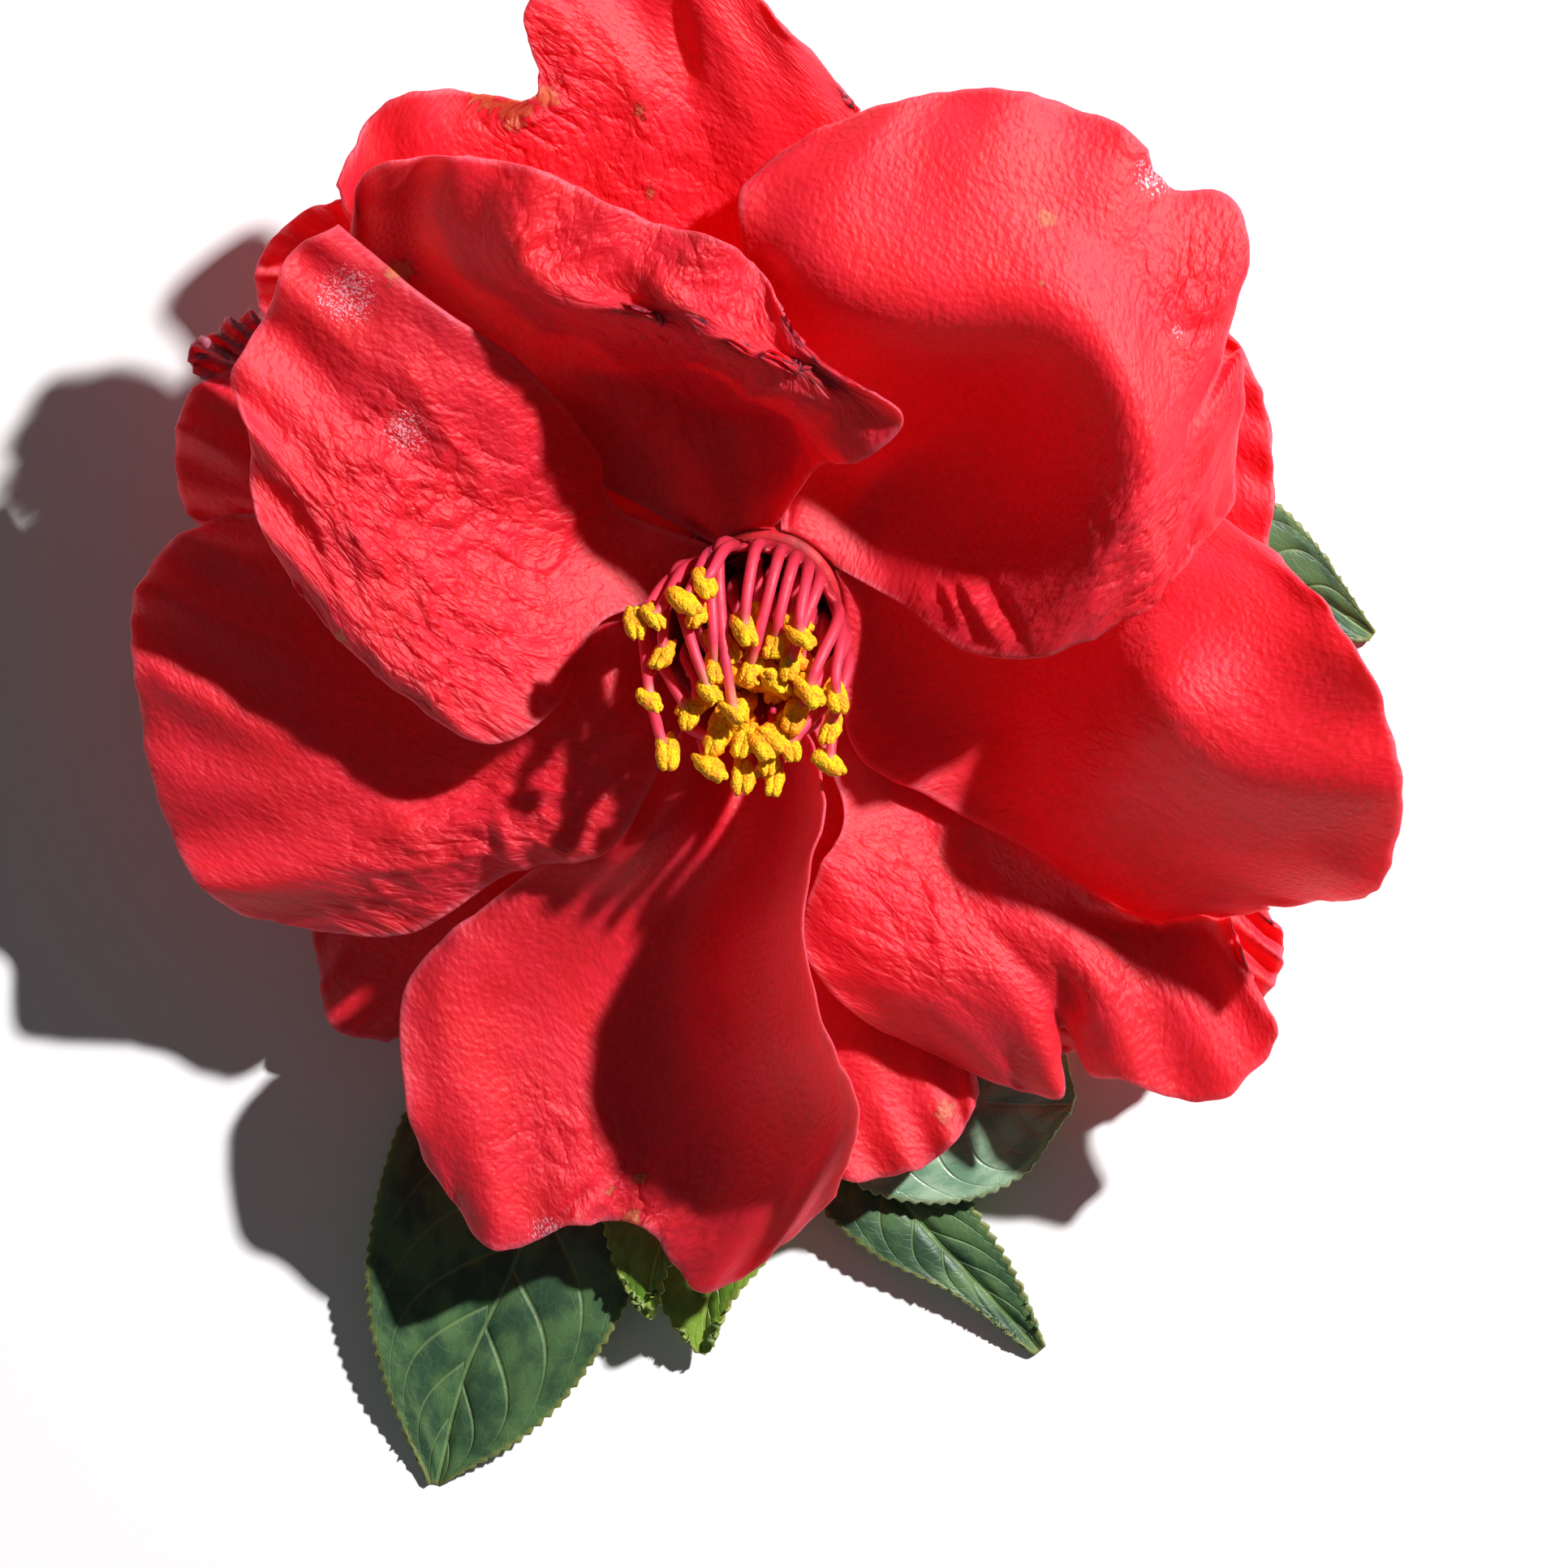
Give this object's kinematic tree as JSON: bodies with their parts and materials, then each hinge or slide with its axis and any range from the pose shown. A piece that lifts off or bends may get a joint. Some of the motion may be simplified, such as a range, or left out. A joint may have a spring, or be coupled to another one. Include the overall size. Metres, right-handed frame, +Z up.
{
  "type": "camellia flower",
  "caption": "Red semi-double camellia bloom with golden stamens on a short leafy twig, cut and laid face up.",
  "frame": {"origin": "centre of the flat rest under the twig, straight below the bloom's calyx", "axes": "+Z up out of the surface the sprig lies on, +X and +Y in that surface, bloom nods towards -Y"},
  "size_m": [0.1045, 0.1277, 0.0432],
  "materials": {
    "petal": "satin",
    "petal_withered": "matte",
    "stamen": "matte",
    "pistil": "matte",
    "calyx": "matte",
    "leaf": "satin",
    "bark": "matte"
  },
  "bodies": {
    "root": {"petal_inner_left": "petal", "petal_inner_upper_left": "petal", "petal_inner_upper_right": "petal", "petal_inner_right": "petal", "petal_inner_lower_left": "petal", "petal_inner_bottom": "petal", "petal_inner_lower_right": "petal", "petal_outer_top": "petal", "petal_outer_right": "petal", "petal_outer_upper_left": "petal", "petal_outer_left": "petal", "petal_withered": "petal_withered", "petal_outer_lower_left": "petal", "petal_outer_bottom": "petal", "petal_outer_lower_right": "petal", "calyx": "calyx", "stamens": "stamen", "pistil": "pistil", "leaf_curled": "leaf", "leaf_shoot_left": "leaf", "leaf_shoot_right": "leaf", "leaf_lower_right": "leaf", "leaf_lower_left": "leaf", "leaf_right": "leaf", "twig": "bark"}
  },
  "joints": []
}
